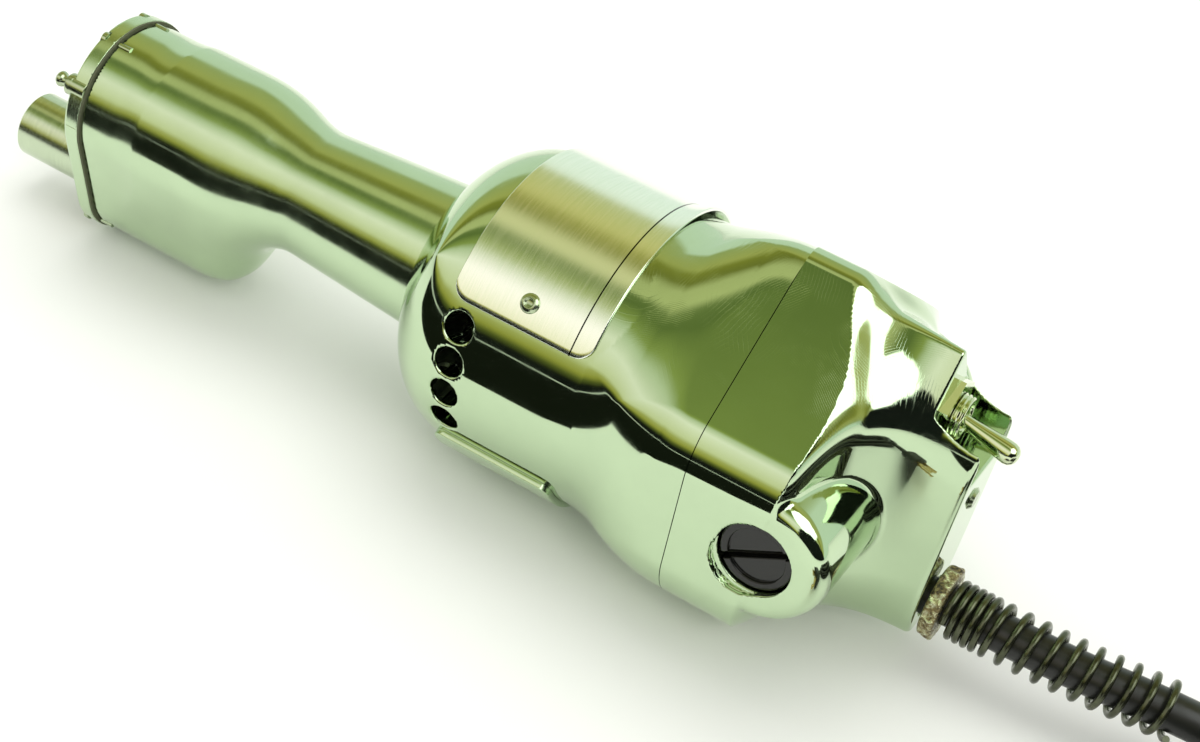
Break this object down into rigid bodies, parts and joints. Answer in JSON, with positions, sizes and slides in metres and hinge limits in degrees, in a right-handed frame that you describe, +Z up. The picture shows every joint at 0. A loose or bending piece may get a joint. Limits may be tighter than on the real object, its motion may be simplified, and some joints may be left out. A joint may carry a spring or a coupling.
{
  "type": "autopsy saw",
  "caption": "Hand-held oscillating autopsy saw: plated motor housing, tapered neck, offset head with a swinging arbor, toggle switch, spring strain relief and mains lead.",
  "frame": {"origin": "on the flat underside of the housings, in the middle plane, below the seam between the motor housing and the rear housing", "axes": "+X along the motor axis towards the arbor, +Z up, away from the flat underside, +Y to the left seen from behind"},
  "size_m": [0.4378, 0.128, 0.0835],
  "materials": {
    "plated_casting": "polished",
    "plated_cover": "polished, lightly worn",
    "gasket": "matte",
    "screw_steel": "worn plating",
    "plate": "brushed",
    "core_iron": "laminated",
    "winding_varnish": "varnished copper wire",
    "bronze": "machined",
    "bearing_steel": "ground",
    "shaft_steel": "ground",
    "copper": "turned",
    "fan_alloy": "die cast",
    "arbor_steel": "polished",
    "carbon": "carbon",
    "spring_steel": "dark, oiled",
    "cap_bakelite": "phenolic resin",
    "switch_phenolic": "phenolic resin",
    "switch_metal": "bright nickel",
    "ferrule_steel": "crimped, stained",
    "cord_rubber": "black jacket",
    "plug_rubber": "moulded",
    "blade_brass": "stamped"
  },
  "bodies": {
    "frame": {"motor_housing": "plated_casting", "rear_housing": "plated_casting", "nose_housing": "plated_casting", "head_cover": "plated_cover", "cover_gasket": "gasket", "cover_screws": "screw_steel", "grease_nipple": "screw_steel", "nameplate": "plate", "nameplate_rivets": "screw_steel", "belly_plate": "plated_cover", "belly_plate_screws": "screw_steel", "rear_screw": "screw_steel", "stator_core": "core_iron", "field_coils": "winding_varnish", "arbor_bush": "bronze", "rear_bearing_outer": "bearing_steel", "front_bearing_outer": "bearing_steel", "drive_bearing_outer": "bearing_steel", "spindle_bearing_outer": "bearing_steel", "brush_holders": "bronze", "carbon_brushes": "carbon", "brush_springs": "spring_steel", "brush_caps": "cap_bakelite", "switch_body": "switch_phenolic", "switch_neck": "switch_metal", "switch_nut": "switch_metal", "cord_ferrule": "ferrule_steel", "power_cord": "cord_rubber", "strain_relief_spring": "spring_steel", "cord_coil": "cord_rubber", "plug_body": "plug_rubber", "plug_blades": "blade_brass"},
    "rotor": {"armature_shaft": "shaft_steel", "armature_core": "core_iron", "armature_winding": "winding_varnish", "commutator": "copper", "cooling_fan": "fan_alloy", "rear_bearing_inner": "bearing_steel", "front_bearing_inner": "bearing_steel", "drive_bearing_inner": "bearing_steel", "shaft_coupling": "shaft_steel", "drive_shaft": "shaft_steel", "eccentric_hub": "shaft_steel", "eccentric_bearing_inner": "bearing_steel", "eccentric_bearing_outer": "bearing_steel"},
    "spindle": {"arbor_spindle": "arbor_steel", "swing_fork": "shaft_steel", "fork_pin": "shaft_steel", "spindle_bearing_inner": "bearing_steel"},
    "toggle": {"toggle_lever": "switch_metal"}
  },
  "joints": [
    {"name": "rotor_spin", "type": "hinge", "parent": "frame", "child": "rotor", "pos_m": [0.02, 0, 0.0368], "axis": [1, 0, 0], "continuous": true},
    {"name": "spindle_swing", "type": "hinge", "parent": "frame", "child": "spindle", "pos_m": [0.15, 0, 0.0158], "axis": [1, 0, 0], "range_deg": [-2.7, 2.7]},
    {"name": "toggle_throw", "type": "hinge", "parent": "frame", "child": "toggle", "pos_m": [-0.0383, 0, 0.062], "axis": [0, 1, 0], "range_deg": [0, 25]}
  ]
}
